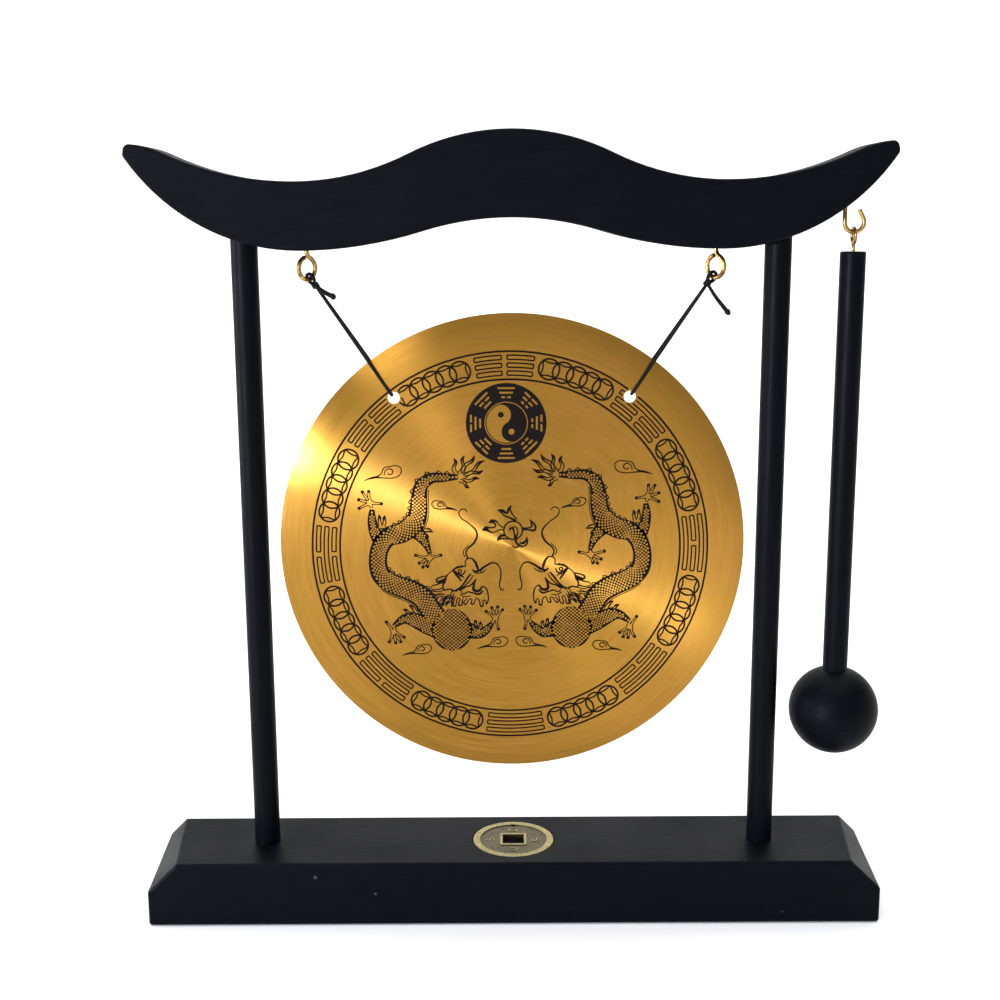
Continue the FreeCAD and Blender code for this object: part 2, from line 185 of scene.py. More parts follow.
floor_finish, tree, shader, place = new_finish("floor_paint")
shader.inputs["Base Color"].default_value = (0.93, 0.93, 0.93, 1)
shader.inputs["Roughness"].default_value = 0.9
shader.inputs["Specular IOR Level"].default_value = 0.1
floor = new_piece("floor", make_floor(), floor_finish)
floor.location.z = -0.0002

# Cord loops --------------------------------------------------------------------------------
# Thin waxed black cord, one loop each side: from the knot it runs down in front of the disc,
# through the hole and up behind the rim to the same knot. The disc's weight keeps it taut.

CORD_DIAMETER = 0.9 * MM
SIDES = (("left", -1), ("right", 1))
HOLE = Vector((37.4, -0.12, 171.77)) * MM
RING_CONTACT = Vector((62.62, 0, 209.27)) * MM
HOLE_EDGE = 2.4 * MM               # hole centre to the middle of the metal at its edge
KNOT_DROP = 2.55 * MM
STRAND_SPREAD = 0.6 * MM           # the strands leave the knot in front of and behind its middle
RING_TURN = math.radians(50)       # the ring's plane against the disc's
CONTACT_LEAN = math.radians(23.5)  # where the cord sits, up from the ring's lowest point
WRAP_RADIUS = 1.68 * MM            # control points of the turns round the ring's wire
WRAP_HALF_LENGTH = 0.36 * MM
HITCH_RADIUS = 0.82 * MM
HITCH_HALF_HEIGHT = 0.75 * MM
MELTED_END_RADIUS = 1.0 * MM
TAILS = {"left": Vector((5.9, -4.4, -3.3)) * MM, "right": Vector((6.4, -2.0, -9.0)) * MM}
BEHIND = Vector((0, 1, 0))


def strand_frame(side):
    """The knot's centre, the middle of the metal at the hole's edge, and the way up."""
    hole, contact = HOLE.copy(), RING_CONTACT.copy()
    hole.x *= side
    contact.x *= side
    level = Vector((hole.x, 0, hole.z))
    along = (contact - level).normalized()
    return contact - along * KNOT_DROP, hole + along * HOLE_EDGE, along


def cord_route(side):
    knot, edge, along = strand_frame(side)
    apart = BEHIND * STRAND_SPREAD
    near = [(6.5, -1.29), (1.45, -1.39), (-1.45, -1.45), (-1.45, 1.45), (1.45, 2.43), (11.0, 5.65)]
    between = [edge + along * up * MM + BEHIND * back * MM for up, back in near]
    return [knot - apart] + between + [knot + apart]


def new_spline(curve, points):
    spline = curve.splines.new("NURBS")
    spline.points.add(len(points) - 1)
    for i, point in enumerate(points):
        spline.points[i].co = (*point, 1)
    spline.order_u = 3
    spline.use_endpoint_u = True
    spline.resolution_u = 10
    return spline


def cord_curve(name):
    curve = bpy.data.curves.new(name, "CURVE")
    curve.dimensions = "3D"
    curve.bevel_depth = CORD_DIAMETER / 2
    curve.bevel_resolution = 4
    curve.use_fill_caps = True
    return curve


def cord_finish(name, along):
    """Black twisted cord: slanting strands across the run, with fine fibre noise."""
    finish, tree, shader, place = new_finish(name)
    lay = Vector((along.x, 0.75, along.z)).normalized()
    dot = add_node(tree, "ShaderNodeVectorMath", operation="DOT_PRODUCT")
    dot.inputs[1].default_value = lay
    tree.links.new(place, dot.inputs[0])
    turns = combine(tree, "MULTIPLY", dot.outputs["Value"], math.tau / (0.75 * MM))
    strands = combine(tree, "SINE", turns, 0.0)
    fibres = noise(tree, place, 9000, 3)
    shade = combine(tree, "ADD", combine(tree, "MULTIPLY", strands, 0.35), fibres)
    colour = blend_colours(tree, ramp(tree, shade, 0.2, 1.0), (0.0015, 0.0015, 0.002),
                           (0.0065, 0.0065, 0.0075))
    tree.links.new(colour, shader.inputs["Base Color"])
    shader.inputs["Roughness"].default_value = 0.62
    shader.inputs["Specular IOR Level"].default_value = 0.12
    bumped(tree, shader, shade, 0.6, 0.08 * MM)
    return finish


def make_knot(side, name, finish):
    """Nearly two turns round the ring's wire, the hitch below, and two ends melted together."""
    knot, _, along = strand_frame(side)
    contact = knot + along * KNOT_DROP
    wire = Vector((-side * math.cos(CONTACT_LEAN) * math.cos(RING_TURN),
                   math.cos(CONTACT_LEAN) * math.sin(RING_TURN), math.sin(CONTACT_LEAN)))
    across = wire.cross(along).normalized()
    curve = cord_curve(name)
    wrap = []
    for i in range(19):
        angle = math.radians(45 + i * 35)
        out = along * -math.cos(angle) + across * math.sin(angle)
        wrap.append(contact + out * WRAP_RADIUS + wire * (i - 9) / 9 * WRAP_HALF_LENGTH)
    new_spline(curve, [knot + across * 0.5 * MM] + wrap + [knot - across * 0.5 * MM])
    hitch = []
    for i in range(22):
        angle = math.radians(i * 48)
        out = across * math.cos(angle) + wire * math.sin(angle)
        hitch.append(knot + out * HITCH_RADIUS + along * (i - 10.5) / 10.5 * HITCH_HALF_HEIGHT)
    new_spline(curve, hitch)
    tail = TAILS[name.split("_")[0]]
    heading = tail.normalized()
    beside = heading.cross(Vector((0, 0, 1))).normalized()
    droop = heading.cross(beside).normalized()
    for offset, lift in ((0.45, 0.2), (-0.45, -0.25)):
        points = [knot + beside * offset * MM * 0.6]
        for share, bow in ((0.3, 0.35), (0.65, 0.3), (1.0, 0.0)):
            points.append(knot + tail * share + beside * offset * MM * (1 - 0.25 * share)
                          + droop * (bow + lift * share) * MM)
        new_spline(curve, points)
    strands = mesh_of(new_piece(name + "_strands", curve))
    bm = bmesh.new()
    bm.from_mesh(strands)
    blob = bmesh.ops.create_icosphere(bm, subdivisions=3, radius=MELTED_END_RADIUS)["verts"]
    rng = random.Random(name)
    lumps = [(Vector([rng.uniform(-1, 1) for _ in range(3)]).normalized(), rng.uniform(-.2, .15))
             for _ in range(7)]
    for vert in blob:
        direction = vert.co.normalized()
        swell = sum(size * max(0, direction.dot(lump)) ** 4 for lump, size in lumps)
        stretch = heading * direction.dot(heading) * 0.2 * MM
        vert.co = knot + tail * 0.985 + vert.co * (1 + swell) + stretch
    mesh = bpy.data.meshes.new(name)
    bm.to_mesh(mesh)
    bm.free()
    mesh.shade_smooth()
    return new_piece(name, mesh, finish)


def mesh_of(piece):
    """The finished mesh of a curve, which is then removed."""
    graph = bpy.context.evaluated_depsgraph_get()
    mesh = bpy.data.meshes.new_from_object(piece.evaluated_get(graph))
    bpy.data.objects.remove(piece)
    return mesh


for name, side in SIDES:
    finish = cord_finish(name + "_cord_black", strand_frame(side)[2])
    curve = cord_curve(name + "_loop")
    new_spline(curve, cord_route(side))
    curve.splines[0].resolution_u = 24
    loop = new_piece(name + "_loop", curve, finish)
    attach(loop, "suspension")
    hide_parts(name + "_cord")
    tied = make_knot(side, name + "_knot", finish)
    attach(tied, "suspension")
    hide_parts(name + "_cord_knot")
    cord_route(side)[0]

# Wooden stand ------------------------------------------------------------------------------
# Base, posts and crossbeam are one softwood stand, sanded, brushed with thin black paint and
# rubbed on its edges. The grain runs along each piece and shows through as fine open lines.


def black_paint(name, grain, worn=None, sheen=0.46):
    """Thin satin black over open grain. grain is the scale along X, Y and Z."""
    finish, tree, shader, place = new_finish(name)
    fibres = noise(tree, stretched(tree, place, grain), 1.0, 8, 0.65)
    pores = noise(tree, stretched(tree, place, tuple(2.2 * s for s in grain)), 1.0, 3, 0.5)
    pores = ramp(tree, pores, 0.30, 0.40)
    patches = noise(tree, place, 38, 5)
    dust = noise(tree, place, 2600, 2)
    base = blend_colours(tree, ramp(tree, fibres, 0.35, 0.7), (0.0010, 0.0013, 0.0022),
                         (0.0022, 0.0027, 0.0044))
    base = blend_colours(tree, ramp(tree, dust, 0.72, 0.80, 0.0, 0.35), base, (0.03, 0.032, 0.036))
    if worn:
        base = blend_colours(tree, worn(tree, place, fibres), base, (0.11, 0.11, 0.11))
    tree.links.new(base, shader.inputs["Base Color"])
    rough = combine(tree, "ADD", ramp(tree, patches, 0.3, 0.7, sheen - 0.07, sheen + 0.08),
                    ramp(tree, fibres, 0.3, 0.7, 0.05, -0.03))
    tree.links.new(rough, shader.inputs["Roughness"])
    shader.inputs["Specular IOR Level"].default_value = 0.042
    relief = combine(tree, "ADD", combine(tree, "MULTIPLY", pores, 0.55),
                     combine(tree, "MULTIPLY", fibres, 0.45))
    bumped(tree, shader, relief, 0.35, 0.12 * MM)
    return finish


def worn_base(tree, place, fibres):
    """Grey rubbed patches on the two bevels, and three small chips low on the front."""
    split = add_node(tree, "ShaderNodeSeparateXYZ")
    tree.links.new(place, split.inputs["Vector"])
    out = combine(tree, "ABSOLUTE", split.outputs["X"], 0.0)
    low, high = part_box("base_plinth")
    taper = combine(tree, "MULTIPLY", split.outputs["Y"], -0.116)
    rise = combine(tree, "ADD", combine(tree, "ADD", out, split.outputs["Z"]), taper)
    edge = high.x + high.z - 7.75 * MM
    bevel = ramp(tree, rise, edge - 0.9 * MM, edge - 0.3 * MM)
    rub = ramp(tree, noise(tree, stretched(tree, place, (1, 0.4, 1)), 260, 6, 0.7), 0.40, 0.68)
    chips = None
    for x, z, radius in ((-64.8, 16.9, 0.75), (-45.3, 11.0, 0.6), (88.0, 4.0, 0.4)):
        away = add_node(tree, "ShaderNodeVectorMath", operation="DISTANCE")
        away.inputs[1].default_value = (x * MM, low.y, z * MM)
        tree.links.new(place, away.inputs[0])
        spot = ramp(tree, away.outputs["Value"], radius * MM, radius * 0.6 * MM)
        chips = spot if chips is None else combine(tree, "MAXIMUM", chips, spot)
    rubbed = combine(tree, "MULTIPLY", combine(tree, "MULTIPLY", bevel, rub), 0.12)
    return combine(tree, "MAXIMUM", rubbed, combine(tree, "MULTIPLY", chips, 0.3))


along_x, along_z = (90, 1300, 1300), (1300, 1300, 90)
stand_paint = {
    "base_plinth": black_paint("base_paint", along_x, worn_base, 0.42),
    "crossbeam": black_paint("beam_paint", along_x, sheen=0.5),
    "left_post": black_paint("post_paint", along_z, sheen=0.40),
}
stand_paint["right_post"] = stand_paint["left_post"]


def dress(node, finish):
    mesh = nodes[node].data
    mesh.materials.clear()
    mesh.materials.append(finish)


for node, finish in stand_paint.items():
    dress(node, finish)

# Coin --------------------------------------------------------------------------------------
# A cast bronze coin with a square hole, antiqued dark in the field and rubbed bright on the
# rims. Four plain raised marks stand in the field, one on each side of the hole.


def old_bronze():
    finish, tree, shader, place = new_finish("coin_bronze")
    _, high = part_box("inset_coin")
    split = add_node(tree, "ShaderNodeSeparateXYZ")
    tree.links.new(place, split.inputs["Vector"])
    raised = ramp(tree, split.outputs["Z"], high.z - 0.28 * MM, high.z - 0.03 * MM)
    grime = noise(tree, place, 900, 6, 0.7)
    field = blend_colours(tree, ramp(tree, grime, 0.35, 0.7), (0.035, 0.030, 0.014),
                          (0.11, 0.085, 0.035))
    bright = blend_colours(tree, ramp(tree, grime, 0.35, 0.65), (0.16, 0.135, 0.05),
                           (0.36, 0.29, 0.12))
    tree.links.new(blend_colours(tree, raised, field, bright), shader.inputs["Base Color"])
    shader.inputs["Metallic"].default_value = 0.85
    tree.links.new(ramp(tree, grime, 0.3, 0.7, 0.52, 0.34), shader.inputs["Roughness"])
    bumped(tree, shader, grime, 0.5, 0.12 * MM)
    return finish


def coin_marks(finish):
    """Four groups of short raised bars, each turned a quarter round the hole."""
    _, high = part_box("inset_coin")
    field_z = high.z - 0.3 * MM
    bars = [(-1.3, 7.4, 0.45, 2.2), (0.0, 7.9, 2.0, 0.45), (1.2, 7.0, 0.45, 1.6),
            (0.1, 6.6, 1.6, 0.4), (-0.2, 8.9, 1.2, 0.4)]
    bm = bmesh.new()
    for quarter in range(4):
        turn = Matrix.Rotation(math.radians(90 * quarter + 180), 4, "Z")
        for x, y, width, height in bars[quarter % 2:]:
            bar = bmesh.ops.create_cube(bm, size=MM)["verts"]
            bmesh.ops.scale(bm, vec=(width, height, 0.4), verts=bar)
            bmesh.ops.translate(bm, vec=(x * MM, y * MM, field_z), verts=bar)
            bmesh.ops.transform(bm, matrix=turn, verts=bar)
    bmesh.ops.bevel(bm, geom=bm.edges[:], offset=0.09 * MM, segments=2, profile=0.5,
                    affect="EDGES", material=-1)
    mesh = bpy.data.meshes.new("coin_marks")
    bm.to_mesh(mesh)
    bm.free()
    return new_piece("coin_marks", mesh, finish)


bronze = old_bronze()
dress("inset_coin", bronze)
marks = coin_marks(bronze)
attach(marks, "stand")

# Screw eyes and hook -----------------------------------------------------------------------
# Bent brass-plated wire. The two closed eyes and the opened one are stock wood-screw eyes; the
# plating has gone brown in places where it was handled.


def plated_wire():
    finish, tree, shader, place = new_finish("plated_wire")
    tarnish = noise(tree, place, 420, 5, 0.65)
    colour = blend_colours(tree, ramp(tree, tarnish, 0.38, 0.66), (0.55, 0.35, 0.10),
                           (0.10, 0.045, 0.018))
    tree.links.new(colour, shader.inputs["Base Color"])
    shader.inputs["Metallic"].default_value = 1.0
    tree.links.new(ramp(tree, tarnish, 0.3, 0.7, 0.2, 0.38), shader.inputs["Roughness"])
    bumped(tree, shader, noise(tree, place, 2500, 3), 0.15, 0.03 * MM)
    return finish


wire_finish = plated_wire()
for node in ("left_eye_screw", "right_eye_screw", "cup_hook", "mallet_eye_screw"):
    dress(node, wire_finish)

# Mallet ------------------------------------------------------------------------------------
# A dowel handle glued into a turned wooden ball, both painted like the stand. The ball's paint
# is a little glossier and shows its turning marks as faint rings round the handle's axis.

dress("mallet_handle", black_paint("handle_paint", along_z, sheen=0.38))
dress("mallet_head", black_paint("ball_paint", (260, 260, 900), sheen=0.44))

# Gong disc ---------------------------------------------------------------------------------
# Rolled brass sheet, spun and brushed in circles about its centre, so light falls across it in
# a fan. The rim is turned back.

gong_low, gong_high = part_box("gong_disc")
GONG_CENTRE = Vector((0, gong_low.y, (gong_low.z + gong_high.z) / 2))
FACE = gong_low.y


def round_brushing(tree, place):
    """Radius, the direction across the brush lines in the world, and the same as a unit."""
    offset = add_node(tree, "ShaderNodeVectorMath", operation="SUBTRACT")
    offset.inputs[1].default_value = (GONG_CENTRE.x, 0, GONG_CENTRE.z)
    tree.links.new(place, offset.inputs[0])
    flat = add_node(tree, "ShaderNodeVectorMath", operation="MULTIPLY")
    flat.inputs[1].default_value = (1, 0, 1)
    tree.links.new(offset.outputs["Vector"], flat.inputs[0])
    length = add_node(tree, "ShaderNodeVectorMath", operation="LENGTH")
    tree.links.new(flat.outputs["Vector"], length.inputs[0])
    turned = add_node(tree, "ShaderNodeVectorTransform", vector_type="VECTOR",
                      convert_from="OBJECT", convert_to="WORLD")
    tree.links.new(flat.outputs["Vector"], turned.inputs["Vector"])
    unit = add_node(tree, "ShaderNodeVectorMath", operation="NORMALIZE")
    tree.links.new(flat.outputs["Vector"], unit.inputs[0])
    return length.outputs["Value"], turned.outputs["Vector"], unit.outputs["Vector"]


def brushed_brass(name):
    finish, tree, shader, place = new_finish(name)
    radius, across_lines, outward = round_brushing(tree, place)
    spread = add_node(tree, "ShaderNodeVectorMath", operation="SCALE")
    spread.inputs["Scale"].default_value = 0.0014
    tree.links.new(outward, spread.inputs[0])
    rings = add_node(tree, "ShaderNodeCombineXYZ")
    tree.links.new(radius, rings.inputs["Y"])
    ring_place = add_node(tree, "ShaderNodeVectorMath", operation="ADD")
    tree.links.new(spread.outputs["Vector"], ring_place.inputs[0])
    tree.links.new(rings.outputs["Vector"], ring_place.inputs[1])
    fine = noise(tree, ring_place.outputs["Vector"], 2600, 4, 0.7)
    broad = noise(tree, ring_place.outputs["Vector"], 260, 3, 0.6)
    patches = noise(tree, place, 26, 4)
    colour = blend_colours(tree, ramp(tree, patches, 0.35, 0.65), (0.400, 0.200, 0.038),
                           (0.360, 0.192, 0.028))
    colour = blend_colours(tree, ramp(tree, fine, 0.42, 0.72, 0.0, 0.55), colour,
                           (0.255, 0.118, 0.015))
    tree.links.new(colour, shader.inputs["Base Color"])
    shader.inputs["Metallic"].default_value = 1.0
    rough = combine(tree, "ADD", ramp(tree, fine, 0.3, 0.7, 0.26, 0.38),
                    ramp(tree, broad, 0.3, 0.7, -0.03, 0.04))
    tree.links.new(rough, shader.inputs["Roughness"])
    shader.inputs["Anisotropic"].default_value = 0.95
    tree.links.new(across_lines, shader.inputs["Tangent"])
    bumped(tree, shader, fine, 0.25, 0.02 * MM)
    return finish


disc_brass = brushed_brass("disc_brass")
dress("gong_disc", disc_brass)

# Printed band ------------------------------------------------------------------------------
# Brown-black ink printed on the front of the disc, inside the rim: two thin circles with eight
# three-bar signs between them, alternating with chains of linked coins.

INK = 0.030 * MM                   # how far the ink stands off the brass
BAND_OUTER, BAND_INNER = 63.9, 55.0
BAND_LINE = 0.62
BAND_CENTRE = (-0.75, -0.7)        # the print sits a little off the disc's centre
BAND_TURN = -1.5                   # and is turned a little


def printing_ink():
    finish, tree, shader, place = new_finish("printing_ink")
    thin = noise(tree, place, 1500, 3)
    tree.links.new(blend_colours(tree, ramp(tree, thin, 0.55, 0.8), (0.0035, 0.0018, 0.0012),
                                 (0.012, 0.006, 0.003)), shader.inputs["Base Color"])
    shader.inputs["Roughness"].default_value = 0.5
    shader.inputs["Specular IOR Level"].default_value = 0.08
    bumped(tree, shader, thin, 0.1, 0.01 * MM)
    return finish


ink = printing_ink()


def onto_face(mesh, off_face=0.0, thickness=INK):
    """Lays a flat drawing in millimetres (x right, y up) on the disc's front as thin ink."""
    half = thickness / 2
    for vert in mesh.vertices:
        x, y, z = vert.co
        rise = max(-1.0, min(1.0, z / 0.02)) * half
        vert.co = (x * MM, FACE - off_face - half - rise, GONG_CENTRE.z + y * MM)
    bm = bmesh.new()
    bm.from_mesh(mesh)
    bmesh.ops.recalc_face_normals(bm, faces=bm.faces)
    bm.to_mesh(mesh)
    bm.free()


def drawing(name, strokes=(), fills=()):
    """Strokes are (points, widths, closed); fills are groups of outlines, inner ones as holes."""
    meshes = []
    if strokes:
        curve = bpy.data.curves.new(name, "CURVE")
        curve.dimensions = "2D"
        curve.fill_mode = "NONE"
        curve.bevel_depth = 0.5
        curve.bevel_resolution = 0
        for points, widths, closed in strokes:
            spline = curve.splines.new("BEZIER")
            spline.bezier_points.add(len(points) - 1)
            for i, (x, y) in enumerate(points):
                knot = spline.bezier_points[i]
                knot.co = (x, y, 0)
                knot.handle_left_type = knot.handle_right_type = "AUTO"
                knot.radius = widths if isinstance(widths, (int, float)) else widths[i]
            spline.use_cyclic_u = closed
            spline.resolution_u = 8
        curve.use_fill_caps = True
        meshes.append(mesh_of(new_piece(name, curve)))
    for group in fills:
        curve = bpy.data.curves.new(name, "CURVE")
        curve.dimensions = "2D"
        curve.fill_mode = "BOTH"
        curve.extrude = 0.02
        for outline in group:
            spline = curve.splines.new("POLY")
            spline.points.add(len(outline) - 1)
            for i, (x, y) in enumerate(outline):
                spline.points[i].co = (x, y, 0, 1)
            spline.use_cyclic_u = True
        meshes.append(mesh_of(new_piece(name, curve)))
    bm = bmesh.new()
    for mesh in meshes:
        bm.from_mesh(mesh)
    bmesh.ops.remove_doubles(bm, verts=bm.verts, dist=1e-4)
    mesh = bpy.data.meshes.new(name)
    bm.to_mesh(mesh)
    bm.free()
    onto_face(mesh)
    piece = new_piece(name, mesh, ink)
    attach(piece, "gong")


def polar(radius, degrees, centre=BAND_CENTRE):
    """A point by radius and clockwise degrees from straight up."""
    angle = math.radians(degrees)
    return centre[0] + radius * math.sin(angle), centre[1] + radius * math.cos(angle)


def ring_points(radius, count=48, centre=BAND_CENTRE):
    return [polar(radius, 360 * i / count, centre) for i in range(count)]


def box_strokes(low_radius, high_radius, start, end, width):
    """The four sides of a bar bent round the band."""
    steps = [start + (end - start) * i / 4 for i in range(5)]
    outline = [[polar(high_radius, a) for a in steps], [polar(low_radius, a) for a in steps],
               [polar(low_radius, start), polar(high_radius, start)],
               [polar(low_radius, end), polar(high_radius, end)]]
    return [(side, width, False) for side in outline]


def three_bar_sign(middle, rows):
    """Rows from the outside in; a broken row has a gap in the middle."""
    strokes = []
    reach, gap = 8.85, 0.83
    for row, broken in enumerate(rows):
        high = 62.65 - 2.5 * row
        parts = [(-reach, -gap), (gap, reach)] if broken else [(-reach, reach)]
        for start, end in parts:
            strokes += box_strokes(high - 1.35, high, middle + start, middle + end, 0.48)
    return strokes


def linked_coins(middle):
    """Five overlapping rings; each one's square hole is drawn by the arcs that cross it."""
    strokes = []
    radius, pitch = 3.3, 4.4
    for i in range(5):
        turn = middle + (i - 2) * pitch
        centre = polar(59.45, turn)
        strokes.append((ring_points(radius, 16, centre), 0.60, True))
        sides = [0, 180] + [270] * (i == 0) + [90] * (i == 4)
        for side in sides:
            arc = [polar(r, turn + side + a, centre)
                   for r, a in ((radius, -44), (2.5, -29), (2.0, 0), (2.5, 29), (radius, 44))]
            strokes.append((arc, 0.50, False))
    return strokes


def clear_of_holes(stroke):
    """The stroke, cut where it would run over one of the two cord holes."""
    points, width, closed = stroke
    loop = points + points[:1] if closed else points
    dense = []
    for a, b in zip(loop, loop[1:]):
        steps = max(1, int(math.dist(a, b) / 0.3))
        dense += [(a[0] + (b[0] - a[0]) * i / steps, a[1] + (b[1] - a[1]) * i / steps)
                  for i in range(steps)]
    dense += [] if closed else [loop[-1]]
    holes = [(side * HOLE.x / MM, (HOLE.z - GONG_CENTRE.z) / MM) for _, side in SIDES]
    clear = [min(math.dist(point, hole) for hole in holes) > 1.95 + width / 2 for point in dense]
    if all(clear):
        return [stroke]
    start = clear.index(False) if closed else 0
    parts = [[]]
    for point, free in zip(dense[start:] + dense[:start], clear[start:] + clear[:start]):
        if free:
            parts[-1].append(point)
        elif parts[-1]:
            parts.append([])
    return [(part, width, False) for part in parts if len(part) > 4]


SIGNS = ((1, 1, 1), (0, 1, 1), (0, 1, 0), (0, 0, 1), (0, 0, 0), (1, 0, 0), (1, 0, 1), (1, 1, 0))
band = [(ring_points(BAND_OUTER, 96), BAND_LINE, True), (ring_points(BAND_INNER, 96), BAND_LINE, True)]
signs, chains = [], []
for i, rows in enumerate(SIGNS):
    signs += three_bar_sign(45 * i + BAND_TURN, rows)
    chains += linked_coins(45 * i + 22.5 + BAND_TURN)
for name, strokes in (("circles", band), ("signs", signs), ("chains", chains)):
    drawing("band_" + name, [part for stroke in strokes for part in clear_of_holes(stroke)])

# Eight-sign roundel ------------------------------------------------------------------------
# A solid ink disc under the top of the band. Small three-bar signs and the ring are left out
# of the ink, so they show as bare brass, round a two-part swirl.

ROUNDEL = (-1.8, 40.3)
ROUNDEL_RADIUS = 12.85
SWIRL_RING, SWIRL = 6.9, 6.4
SWIRL_TURN = -32
SMALL_SIGNS = ((0, 0, 1), (1, 1, 1), (1, 0, 1), (0, 1, 1), (0, 0, 0), (1, 1, 0), (1, 0, 0), (0, 1, 0))


def small_bar(distance, turn, start, end, height):
    """A straight bar square to the roundel's radius at that turn."""
    angle = math.radians(turn)
    out = Vector((math.sin(angle), math.cos(angle)))
    across = Vector((math.cos(angle), -math.sin(angle)))
    corners = [(start, -height / 2), (end, -height / 2), (end, height / 2), (start, height / 2)]
    return [tuple(Vector(ROUNDEL) + across * a + out * (distance + b)) for a, b in corners]


def roundel():
    holes = [ring_points(SWIRL_RING, 64, ROUNDEL)]
    for i, rows in enumerate(SMALL_SIGNS):
        for row, broken in enumerate(rows):
            distance = 11.2 - 1.45 * row
            reach = 2.75 - 0.62 * row
            pieces = [(-reach, -0.35), (0.35, reach)] if broken else [(-reach, reach)]
            holes += [small_bar(distance, 45 * i, a, b, 0.62) for a, b in pieces]
    return [ring_points(ROUNDEL_RADIUS, 96, ROUNDEL)] + holes


def swirl():
    """The dark half, on the right, and its partner's dot; the light half is bare brass."""
    def half_ring(radius, centre, start, end, count=24):
        return [polar(radius, start + (end - start) * i / count, centre) for i in range(count + 1)]
    cx, cy = ROUNDEL
    half = SWIRL / 2
    right = half_ring(SWIRL, ROUNDEL, SWIRL_TURN, SWIRL_TURN + 180, 48)
    top = polar(half, SWIRL_TURN, ROUNDEL)
    bottom = polar(half, SWIRL_TURN + 180, ROUNDEL)
    lower = half_ring(half, bottom, SWIRL_TURN + 180, SWIRL_TURN + 360)[1:]
    upper = half_ring(half, top, SWIRL_TURN + 180, SWIRL_TURN)[1:-1]
    dark_dot = ring_points(0.95, 20, top)
    light_dot = ring_points(0.95, 20, bottom)
    return [right + lower + upper, light_dot], [dark_dot]


dark_half, dark_dot = swirl()
drawing("roundel", fills=[roundel(), dark_half, dark_dot])
drawing("swirl_circle", [(ring_points(SWIRL + 0.05, 48, ROUNDEL), 0.30, True)])

# Dragons -----------------------------------------------------------------------------------
# Two facing dragons printed in the same ink. Bodies and limbs are solid ink under thin scales
# in the disc's brass; claws, head, whiskers, mane and tail tuft are tapering lines.

ART_LIFT = 2.5                     # disc's centre to the drawing's own, upwards
SCALE_THICKNESS = 0.012 * MM
FOLD = Vector((-0.8, 0))           # the two sides mirror about a line through here
FOLD_LEAN = Vector((-0.018, 1)).normalized()


def smooth(points, steps=8):
    """Points on a smooth curve through the given ones; every number is carried along."""
    ends = [points[0]] + list(points) + [points[-1]]
    curve = []
    for a, b, c, d in zip(ends, ends[1:], ends[2:], ends[3:]):
        for i in range(steps):
            t = i / steps
            curve.append(tuple(
                0.5 * (2 * q + (r - p) * t + (2 * p - 5 * q + 4 * r - s) * t ** 2
                       + (3 * q - p - 3 * r + s) * t ** 3) for p, q, r, s in zip(a, b, c, d)))
    curve.append(tuple(points[-1]))
    return curve


def prism(bm, corners):
    """A thin flat plate with the given outline."""
    top = [bm.verts.new((x, y, 0.02)) for x, y in corners]
    bottom = [bm.verts.new((x, y, -0.02)) for x, y in corners]
    bm.faces.new(top)
    bm.faces.new(bottom[::-1])
    for i in range(len(corners)):
        j = (i + 1) % len(corners)
        bm.faces.new((top[j], top[i], bottom[i], bottom[j]))


def sides_of(curve):
    """Centre, left, heading and half width at each point of an (x, y, width) curve."""
    rows = []
    for i, (x, y, width) in enumerate(curve):
        before, after = curve[max(0, i - 1)], curve[min(len(curve) - 1, i + 1)]
        heading = Vector((after[0] - before[0], after[1] - before[1])).normalized()
        left = Vector((-heading.y, heading.x))
        rows.append((Vector((x, y)), left, heading, width / 2))
    return rows


def solid_body(bm, rows):
    for (p, l, h, w), (q, m, k, v) in zip(rows, rows[1:]):
        prism(bm, [p + l * w, p - l * w, q - m * v, q + m * v])


def scales(bm, rows, size, rng, others=()):
    """Brass scales in staggered rows along a body part, left out where another part covers it."""
    travelled, row = size * 0.4, 0
    for (p, l, h, w), (q, m, k, v) in zip(rows, rows[1:]):
        run = (q - p).length
        while travelled < run:
            share = travelled / run
            centre, half = p.lerp(q, share), w + (v - w) * share
            across = l.lerp(m, share)
            reach = half - 0.55
            for i in range(-5, 6):
                off = (i + 0.5 * (row % 2)) * size
                spot = centre + across * off
                if abs(off) > reach or any((spot - o).length < r for o, _, _, r in others):
                    continue
                wide = size * rng.uniform(0.21, 0.27)
                long = size * rng.uniform(0.24, 0.32)
                tip, shoulder, side = h * long, h * long * 0.45, across * wide
                prism(bm, [spot + tip, spot + shoulder + side, spot - shoulder + side,
                           spot - tip, spot - shoulder - side, spot + shoulder - side])
            travelled += size * 0.44
            row += 1
        travelled -= run


def lift(points):
    return [(point[0], point[1] + ART_LIFT) + tuple(point[2:]) for point in points]


def mirrored(x, y):
    away = Vector((x, y)) - FOLD
    return tuple(FOLD + 2 * away.dot(FOLD_LEAN) * FOLD_LEAN - away)


def line(points, widths):
    return (lift(points), widths, False)


def tongue(root, tip, width, bow, dark=0.6):
    """A pointed leaf or flame: two lines from a root that meet in a dark tip."""
    root, tip = Vector(root), Vector(tip)
    side = Vector((root.y - tip.y, tip.x - root.x)).normalized()
    strokes = []
    for hand in (-1, 1):
        points = [root + side * hand * width / 2,
                  root.lerp(tip, 0.4) + side * (bow + hand * width * 0.42),
                  root.lerp(tip, 0.75) + side * (-0.5 * bow + hand * width * 0.25), tip]
        strokes.append(line([tuple(point) for point in points], [0.36, 0.36, dark, 0.24]))
    return strokes


